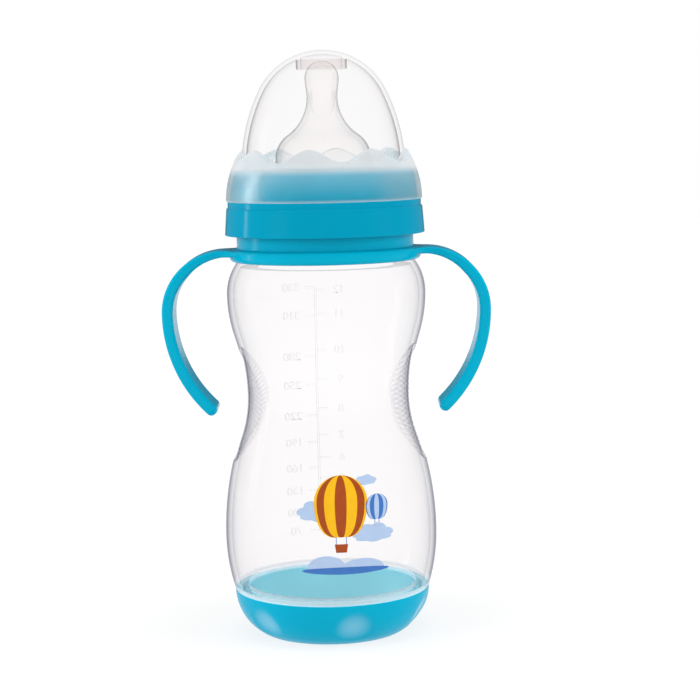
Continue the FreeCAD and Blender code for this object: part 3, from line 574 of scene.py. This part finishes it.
# Cover
cover = {"skirt": 35.0, "skirtMiddle": 2.0, "skirtBottom": 156.0, "wall": 1.5, "step": 167.0, "crest": 171.7,
         "wave": 2.3, "waves": 8, "firstWave": math.radians(-99), "dome": 25.2, "domeFoot": 29.2,
         "domeLevel": 183.8, "plugBore": 7.4, "plug": 9.0, "plugBottom": 202.2, "edge": 0.35, "around": 256,
         "waveFoot": 6, "waveFade": 8, "halfWall": 0.75, "stepMargin": 0.3, "flankMargin": 0.05, "frostTop": 3,
         "plugMargin": 0.2, "plugTop": 1.5}
skirtBend = cover["skirt"] - cover["skirtMiddle"]
flankRise = cover["domeLevel"] - cover["step"]
flankBend = ((cover["domeFoot"] ** 2 + flankRise ** 2 - cover["dome"] ** 2)
             / (2 * (cover["domeFoot"] - cover["dome"])))
flankAlong = (flankBend - cover["domeFoot"]) / (flankBend - cover["dome"])
flankUp = flankRise / (flankBend - cover["dome"])
domeIn = cover["dome"] - cover["wall"]


def reachSkirt(level, depth=0):
    return cover["skirtMiddle"] + math.sqrt((skirtBend - depth) ** 2 - (level - cover["skirtBottom"]) ** 2)


def reachFlank(level, depth=0):
    return cover["domeFoot"] - flankBend + math.sqrt((flankBend - depth) ** 2 - (level - cover["step"]) ** 2)


bm = drawOutline((0, cover["domeLevel"] + domeIn), [
    (cover["plugBore"], cover["domeLevel"] + math.sqrt(domeIn ** 2 - cover["plugBore"] ** 2), -domeIn),
    (cover["plugBore"], cover["plugBottom"], 0),
    (cover["plug"], cover["plugBottom"], 0),
    (cover["plug"], cover["domeLevel"] + math.sqrt(domeIn ** 2 - cover["plug"] ** 2), 0),
    (domeIn * flankAlong, cover["domeLevel"] + domeIn * flankUp, -domeIn),
    (cover["domeFoot"] - cover["wall"], cover["step"], -(flankBend - cover["wall"])),
    (reachSkirt(cover["step"], cover["wall"]), cover["step"], 0),
    (reachSkirt(cover["skirtBottom"], cover["wall"]), cover["skirtBottom"], -(skirtBend - cover["wall"])),
    (cover["skirt"], cover["skirtBottom"], 0),
    (reachSkirt(cover["crest"]), cover["crest"], skirtBend),
    (reachFlank(cover["crest"]), cover["crest"], 0),
    (cover["dome"] * flankAlong, cover["domeLevel"] + cover["dome"] * flankUp, flankBend),
    (0, cover["domeLevel"] + cover["dome"], cover["dome"])])
turnRound(bm, cover["around"])
roundEdges(bm, cover["edge"])
for vert in bm.verts:
    around = vert.co.xy.length
    level = vert.co.z
    inside = around < reachFlank(min(max(level, cover["step"]), cover["domeLevel"])) - cover["halfWall"]
    if inside or level < cover["step"] - cover["waveFoot"] or level > cover["crest"] + cover["waveFade"]:
        continue
    if around < reachSkirt(level) - cover["halfWall"] and level < cover["step"] + cover["stepMargin"]:
        continue
    swell = cover["wave"] * math.cos(cover["waves"] * (math.atan2(vert.co.y, vert.co.x) - cover["firstWave"]))
    share = (level - cover["step"] + cover["waveFoot"]) / (cover["crest"] - cover["step"] + cover["waveFoot"])
    if level > cover["crest"]:
        share = 1 - (level - cover["crest"]) / cover["waveFade"]
    newLevel = level + swell * share
    skirtSide = around > (reachSkirt(min(level, cover["crest"])) + reachFlank(max(level, cover["step"]))) / 2
    reachWall = reachSkirt if skirtSide else reachFlank
    change = reachWall(newLevel) - reachWall(level)
    vert.co.xy = vert.co.xy * (1 + change / around)
    vert.co.z = newLevel
for face in bm.faces:
    middle = face.calc_center_median()
    around = middle.xy.length
    if (middle.z < cover["crest"] + cover["frostTop"]
            and around > reachFlank(max(middle.z, cover["step"])) + cover["flankMargin"]):
        face.material_index = 1
    # Plug faces get the darker copy: painted shade.
    elif (around < cover["plug"] + cover["plugMargin"]
          and middle.z < cover["domeLevel"] + domeIn - cover["plugTop"]):
        face.material_index = 2
makePiece("domeCover", bm, [domePlastic, frostedPlastic, plugPaintedShadePlastic], "cover", "cover")

# Bottle
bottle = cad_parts["bottle_body"]
bottle.data.materials.clear()
bottle.data.materials.append(clearPlastic)
shell = BVHTree.FromObject(bottle, bpy.context.evaluated_depsgraph_get())


outside = 80


def landOn(start, way, lift):
    place, normal = shell.ray_cast(Vector(start) * toMetres, Vector(way))[:2]
    return (place + normal * lift * toMetres) * toMillimetres


def meshOf(data):
    maker = bpy.data.objects.new("maker", data)
    scene.collection.objects.link(maker)
    bpy.context.view_layer.update()
    mesh = bpy.data.meshes.new_from_object(maker.evaluated_get(bpy.context.evaluated_depsgraph_get()))
    bm = bmesh.new()
    bm.from_mesh(mesh)
    bpy.data.objects.remove(maker)
    bpy.data.meshes.remove(mesh)
    return bm


# Grip ribs in the two side hollows
ribs = {"middle": 82.8, "halfWidth": 18.6, "halfHeight": 21.0, "margin": 1.3, "pitch": 1.75, "slope": 0.42,
        "width": 0.85, "height": 0.3, "round": 0.14, "eachWay": 16, "points": 50, "leastPoints": 6}
barStep = 1.5
eyeBend = (ribs["halfHeight"] ** 2 + ribs["halfWidth"] ** 2) / (2 * ribs["halfWidth"])


def reachEye(level):
    rise = min(abs(level - ribs["middle"]), ribs["halfHeight"])
    return ribs["halfWidth"] - eyeBend + math.sqrt(eyeBend ** 2 - rise ** 2)


def addBar(bm, low, high, height):
    bar = bmesh.ops.create_cube(bm, size=1)["verts"]
    bmesh.ops.scale(bm, verts=bar, vec=(high[0] - low[0], high[1] - low[1], height * 2))
    bmesh.ops.translate(bm, verts=bar, vec=((low[0] + high[0]) / 2, (low[1] + high[1]) / 2, 0))
    longWay = 0 if high[0] - low[0] > high[1] - low[1] else 1
    edges = {edge for vert in bar for edge in vert.link_edges
             if abs((edge.verts[0].co - edge.verts[1].co)[longWay]) > 0.5}
    pieces = max(1, round((high[longWay] - low[longWay]) / barStep))
    if pieces > 1:
        bmesh.ops.subdivide_edges(bm, edges=list(edges), cuts=pieces - 1, use_grid_fill=True)


bm = bmesh.new()
for count in range(-ribs["eachWay"], ribs["eachWay"] + 1):
    centre = ribs["middle"] + count * ribs["pitch"]
    line = [ribs["halfWidth"] * (step / ribs["points"] - 1) for step in range(2 * ribs["points"] + 1)]
    line = [across for across in line
            if abs(across) < reachEye(centre - ribs["slope"] * across) - ribs["margin"]]
    if len(line) > ribs["leastPoints"]:
        half = ribs["width"] / 2
        addBar(bm, (line[0], centre - half), (line[-1], centre + half), ribs["height"])
roundEdges(bm, ribs["round"], 2)
other = bmesh.ops.duplicate(bm, geom=bm.faces[:])["geom"]
other = {item for item in other if isinstance(item, bmesh.types.BMVert)}
for vert in bm.verts:
    side = 1 if vert in other else -1
    level = vert.co.y - ribs["slope"] * vert.co.x
    vert.co = landOn((side * outside, side * vert.co.x, level), (-side, 0, 0), vert.co.z)
bmesh.ops.recalc_face_normals(bm, faces=bm.faces)
makePiece("gripRibs", bm, [ribPlastic], "bottle")

# Raised measuring scale on the back wall, drawn as it is read from behind
scale = {"line": -4.5, "width": 0.8, "height": 0.22, "round": 0.18, "tick": 3.4, "top": 122.0, "bottom": 28.5,
         "digit": 4.3, "mlAt": -13.6, "ozAt": 4.2, "tickGap": 0.02,
         "ml": {330: 122.0, 310: 111.5, 280: 96.5, 250: 85.7, 220: 73.8, 190: 63.1, 160: 52.9, 130: 44.0,
                100: 35.6, 70: 28.5},
         "oz": {12: 121.0, 11: 112.0, 10: 98.7, 9: 87.6, 8: 76.4, 7: 65.9, 6: 56.9, 5: 48.8}}


def addText(bm, text, across, up, size, depth):
    letters = bpy.data.curves.new("letters", "FONT")
    letters.body = text
    letters.size = size
    letters.extrude = depth * 0.4
    letters.bevel_depth = depth * 0.6
    letters.bevel_resolution = 0
    letters.offset = -depth * 0.45
    letters.align_x = "CENTER"
    letters.align_y = "CENTER"
    letters.resolution_u = 3
    part = meshOf(letters)
    bmesh.ops.translate(part, verts=part.verts, vec=(across, up, 0))
    holder = bpy.data.meshes.new("holder")
    part.to_mesh(holder)
    part.free()
    bm.from_mesh(holder)
    bpy.data.meshes.remove(holder)


bm = bmesh.new()
half = scale["width"] / 2
lineLeft, lineRight = -scale["line"] - half, -scale["line"] + half
addBar(bm, (lineLeft, scale["bottom"]), (lineRight, scale["top"]), scale["height"])
for up in scale["ml"].values():
    addBar(bm, (lineRight + scale["tickGap"], up - half), (lineRight + scale["tick"], up + half), scale["height"])
for up in scale["oz"].values():
    addBar(bm, (lineLeft - scale["tick"], up - half), (lineLeft - scale["tickGap"], up + half), scale["height"])
roundEdges(bm, scale["round"], 1)
for amount, up in scale["ml"].items():
    addText(bm, str(amount), -scale["mlAt"], up, scale["digit"], scale["height"])
for amount, up in scale["oz"].items():
    addText(bm, str(amount), -scale["ozAt"], up, scale["digit"], scale["height"])
for vert in bm.verts:
    vert.co = landOn((-vert.co.x, outside, vert.co.y), (0, -1, 0), vert.co.z)
bmesh.ops.remove_doubles(bm, verts=bm.verts, dist=samePlace)
bmesh.ops.recalc_face_normals(bm, faces=bm.faces)
makePiece("measuringScale", bm, [markPlastic], "bottle")

# Printed picture on the front wall
picture = {"across": 4.6, "up": 46.4, "lift": 0.05, "step": 0.02, "film": 0.015, "inkTone": 420, "inkGrain": 900,
           "inkRough": (0.35, 0.5), "inkGloss": 0.2, "blobGrid": 30, "patchGrid": 6, "balloonGrid": 28}
balloon = {"mouth": 0.2, "taper": 0.8, "drop": 1.3, "gores": 7, "ropeAt": 0.19, "ropeHalf": 0.12, "ropeEnd": 0.26,
           "basketTop": 0.25, "basketFoot": 0.2, "basketEnd": 0.58, "layer": 3}


def makeInk(name, deep, light):
    material, tree, shader = startMaterial(name)
    tone = mixTones(tree, addRange(tree, addNoise(tree, picture["inkTone"]), 0, 1), deep, light)
    tree.links.new(tone, shader.inputs["Base Color"])
    rough = addRange(tree, addNoise(tree, picture["inkGrain"]), *picture["inkRough"])
    tree.links.new(rough, shader.inputs["Roughness"])
    shader.inputs["Specular IOR Level"].default_value = picture["inkGloss"]
    return material


inks = [makeInk("ink_pale_blue", (0.40, 0.52, 0.73), (0.43, 0.55, 0.76)),
        makeInk("ink_yellow", (0.83, 0.44, 0.008), (0.87, 0.48, 0.010)),
        makeInk("ink_brown_red", (0.33, 0.058, 0.009), (0.37, 0.068, 0.012)),
        makeInk("ink_blue", (0.045, 0.155, 0.46), (0.055, 0.175, 0.50))]
paleBlue, yellow, brownRed, blue = range(4)
bm = bmesh.new()
lifts = {}


def keepInk(verts, ink, layer):
    for vert in verts:
        lifts[vert] = picture["lift"] + picture["step"] * layer
    for face in {face for vert in verts for face in vert.link_faces}:
        face.material_index = ink


def addGrid(steps):
    return bmesh.ops.create_grid(bm, x_segments=steps, y_segments=steps, size=1)["verts"]


def addBlob(across, up, width, height, ink, layer, below=1.0, lumps=0, lump=0.0):
    verts = addGrid(picture["blobGrid"])
    for vert in verts:
        x, y = vert.co.xy
        flat = Vector((x * math.sqrt(1 - y * y / 2), y * math.sqrt(1 - x * x / 2)))
        turn = math.atan2(flat.y, flat.x)
        flat *= 1 + lump * abs(math.sin(lumps * turn / 2 + 0.6))
        vert.co.xy = (across + flat.x * width / 2, up + flat.y * height / 2 * (below if flat.y < 0 else 1))
    keepInk(verts, ink, layer)


def addPatch(corners, ink, layer):
    verts = addGrid(picture["patchGrid"])
    for vert in verts:
        x, y = (vert.co.x + 1) / 2, (vert.co.y + 1) / 2
        low = Vector(corners[0]).lerp(Vector(corners[1]), x)
        high = Vector(corners[3]).lerp(Vector(corners[2]), x)
        vert.co.xy = low.lerp(high, y)
    keepInk(verts, ink, layer)


def addBalloon(across, up, radius, main, stripe, rope):
    verts = addGrid(picture["balloonGrid"])
    columns = {vert: vert.co.x for vert in verts}
    for vert in verts:
        turn, rise = vert.co.x * math.pi / 2, vert.co.y * math.pi / 2
        reach = radius * math.cos(rise)
        if rise < 0:
            reach = radius * (balloon["mouth"] + (1 - balloon["mouth"]) * math.cos(rise) ** balloon["taper"])
        vert.co.x = across + reach * math.sin(turn)
        vert.co.y = up + radius * (math.sin(rise) if rise > 0 else balloon["drop"] * math.sin(rise))
    keepInk(verts, main, balloon["layer"])
    for face in {face for vert in verts for face in vert.link_faces}:
        column = sum(columns[vert] for vert in face.verts) / 4
        if int((column + 1) / 2 * balloon["gores"]) % 2 == 1:
            face.material_index = stripe
    low = up - balloon["drop"] * radius
    ropeEnd = low - balloon["ropeEnd"] * radius
    for hand in (-1, 1):
        ropeAt = across + hand * radius * balloon["ropeAt"]
        left, right = ropeAt - balloon["ropeHalf"], ropeAt + balloon["ropeHalf"]
        addPatch([(left, ropeEnd), (right, ropeEnd), (right, low), (left, low)], rope, balloon["layer"])
    top, foot = radius * balloon["basketTop"], radius * balloon["basketFoot"]
    basketEnd = low - balloon["basketEnd"] * radius
    addPatch([(across - foot, basketEnd), (across + foot, basketEnd), (across + top, ropeEnd),
              (across - top, ropeEnd)], stripe, balloon["layer"] + 1)


addBlob(-8.4, 2.6, 13.0, 8.4, paleBlue, 0, below=0.5, lumps=7, lump=0.2)
addBlob(10.2, -5.4, 12.0, 7.4, paleBlue, 0, below=0.5, lumps=7, lump=0.2)
addBlob(8.0, 13.2, 6.4, 4.0, paleBlue, 0, below=0.5, lumps=6, lump=0.2)
addBlob(-6.0, -17.0, 14.0, 10.4, paleBlue, 0, below=0.1)
addBlob(6.4, -17.0, 15.0, 8.0, paleBlue, 1, below=0.1)
addBlob(0.4, -17.2, 30.0, 2.6, blue, 2)
addBalloon(-0.8, 6.6, 9.2, yellow, brownRed, blue)
addBalloon(11.6, 5.0, 3.8, blue, paleBlue, blue)
for vert in bm.verts:
    start = (vert.co.x + picture["across"], -outside, vert.co.y + picture["up"])
    vert.co = landOn(start, (0, 1, 0), lifts[vert])
bmesh.ops.remove_doubles(bm, verts=bm.verts, dist=samePlace)
for face in bm.faces:
    face.normal_update()
bmesh.ops.reverse_faces(bm, faces=[face for face in bm.faces if face.normal.y > 0])
bmesh.ops.solidify(bm, geom=bm.faces[:], thickness=picture["film"])
makePiece("printedPicture", bm, inks, "bottle")
print("pieces made")

# Floor, light and camera
stage = {"floorHalf": 3, "floorDrop": 0.0003, "floorNoise": 6, "floorBounce": 0.75, "floorSeen": (0.785, 0.895),
         "floorAway": (0.1, 0.8), "worldBounce": 0.6, "worldSeen": 1.0, "worldGlossy": (0.3, 0.12),
         "rearFrom": (0.86, 0.97), "aim": (0, 0, 0.1)}
bm = bmesh.new()
bmesh.ops.create_grid(bm, x_segments=2, y_segments=2, size=stage["floorHalf"])
floorMesh = bpy.data.meshes.new("floor")
bm.to_mesh(floorMesh)
bm.free()
floor = bpy.data.objects.new("floor", floorMesh)
floor.location.z = -stage["floorDrop"]
scene.collection.objects.link(floor)


# Rays that show the stage, directly or in the plastic, get a brightness apart from the light that it gives

def addSeen(tree):
    light = tree.nodes.new("ShaderNodeLightPath")
    seen = addMath(tree, "MAXIMUM", light.outputs["Is Camera Ray"], light.outputs["Is Transmission Ray"])
    return addMath(tree, "MAXIMUM", seen, light.outputs["Is Glossy Ray"]), light.outputs["Is Glossy Ray"]


def mixLevels(tree, share, first, second):
    mix = tree.nodes.new("ShaderNodeMix")
    mix.inputs["A"].default_value = first
    tree.links.new(share, mix.inputs["Factor"])
    tree.links.new(second, mix.inputs["B"])
    return mix.outputs["Result"]


floorPaint, tree, shader = startMaterial("floor_paint")
shader.inputs["Roughness"].default_value = 0.9
shader.inputs["Specular IOR Level"].default_value = 0.1
tree.links.new(mixTones(tree, addNoise(tree, stage["floorNoise"]), (0.20, 0.20, 0.20), (0.21, 0.21, 0.21)),
               shader.inputs["Base Color"])
seen = addSeen(tree)[0]
shader.inputs["Emission Color"].default_value = (1, 1, 1, 1)
away = tree.nodes.new("ShaderNodeVectorMath")
away.operation = "LENGTH"
tree.links.new(tree.nodes["place"].outputs["Object"], away.inputs[0])
floorSeen = addRange(tree, away.outputs["Value"], *stage["floorSeen"], *stage["floorAway"])
tree.links.new(mixLevels(tree, seen, stage["floorBounce"], floorSeen), shader.inputs["Emission Strength"])
floorMesh.materials.append(floorPaint)

world = bpy.data.worlds.new("studio")
scene.world = world
world.use_nodes = True
tree = world.node_tree
place = tree.nodes.new("ShaderNodeTexCoord")
axes = tree.nodes.new("ShaderNodeSeparateXYZ")
tree.links.new(place.outputs["Generated"], axes.inputs["Vector"])
seen, glossy = addSeen(tree)
rear = addRange(tree, axes.outputs["Y"], *stage["worldGlossy"], *stage["rearFrom"])
shown = mixLevels(tree, glossy, stage["worldSeen"], rear)
tree.nodes["Background"].inputs["Color"].default_value = (1, 1, 1, 1)
tree.links.new(mixLevels(tree, seen, stage["worldBounce"], shown), tree.nodes["Background"].inputs["Strength"])

lamps = [
    {"name": "left", "spot": (-0.85, -0.55, 0.45), "size": (0.55, 0.55), "power": 4.6, "mirrored": False},
    {"name": "right", "spot": (0.9, -0.3, 0.4), "size": (0.5, 0.5), "power": 4.2, "mirrored": False},
    {"name": "above", "spot": (0.05, -0.15, 1.1), "size": (0.6, 0.6), "power": 3.6, "mirrored": False},
    {"name": "strip", "spot": (-0.75, 0.14, 0.22), "size": (0.08, 0.5), "power": 0.8, "mirrored": True}]
for lampLook in lamps:
    lampData = bpy.data.lights.new(lampLook["name"], "AREA")
    lampData.shape = "RECTANGLE"
    lampData.size, lampData.size_y = lampLook["size"]
    lampData.energy = lampLook["power"]
    lamp = bpy.data.objects.new(lampLook["name"], lampData)
    lamp.location = lampLook["spot"]
    lamp.rotation_mode = "QUATERNION"
    lamp.rotation_quaternion = (Vector(stage["aim"]) - lamp.location).to_track_quat("-Z", "Y")
    lamp.visible_glossy = lampLook["mirrored"]
    lamp.visible_transmission = False
    scene.collection.objects.link(lamp)

eye = {"place": (0.008128, -0.716137, 0.181211), "down": 6.33, "roll": -1.172, "sensor": 36, "lens": 102.857}
cameraData = bpy.data.cameras.new("camera")
cameraData.sensor_width = eye["sensor"]
cameraData.lens = eye["lens"]
camera = bpy.data.objects.new("camera", cameraData)
camera.matrix_world = (Matrix.Translation(eye["place"])
                       @ Matrix.Rotation(math.radians(90 - eye["down"]), 4, "X")
                       @ Matrix.Rotation(math.radians(eye["roll"]), 4, "Z"))
scene.collection.objects.link(camera)
scene.camera = camera
scene.view_settings.view_transform = "Standard"
scene.cycles.max_bounces = 28
scene.cycles.transmission_bounces = 24
scene.cycles.transparent_max_bounces = 24
print("stage set")
